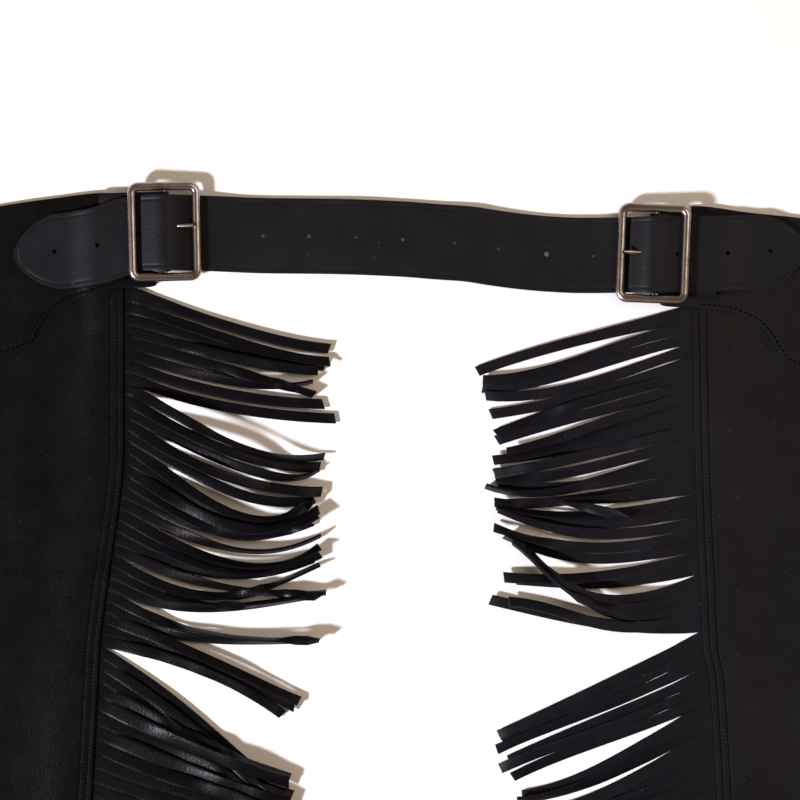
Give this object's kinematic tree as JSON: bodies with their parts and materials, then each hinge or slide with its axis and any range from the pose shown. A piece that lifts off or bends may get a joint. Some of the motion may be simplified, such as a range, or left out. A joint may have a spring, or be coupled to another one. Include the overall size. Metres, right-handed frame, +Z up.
{
  "type": "fringed chaps",
  "caption": "Black leather chaps laid open and flat, two legs with cut fringe joined by a buckled back strap.",
  "frame": {"origin": "middle of the bounding box on the surface the chaps lie on", "axes": "+X across the pair to the right as seen from above, +Y from hem to waist, +Z up off the surface, grain side up"},
  "size_m": [1.44, 0.9936, 0.0138],
  "materials": {
    "leg_leather": "satin, fine grain",
    "yoke_leather": "satin, fine grain",
    "fringe_leather": "satin, cut edges",
    "strap_leather": "smooth satin",
    "buckle_metal": "polished nickel"
  },
  "bodies": {
    "root": {"leg_left": "leg_leather", "leg_right": "leg_leather", "yoke_left": "yoke_leather", "yoke_right": "yoke_leather", "fringe_left": "fringe_leather", "fringe_right": "fringe_leather", "waist_strap": "strap_leather", "chape_left": "strap_leather", "chape_right": "strap_leather", "buckle_left": "buckle_metal", "buckle_right": "buckle_metal", "prong_left": "buckle_metal", "prong_right": "buckle_metal"}
  },
  "joints": []
}
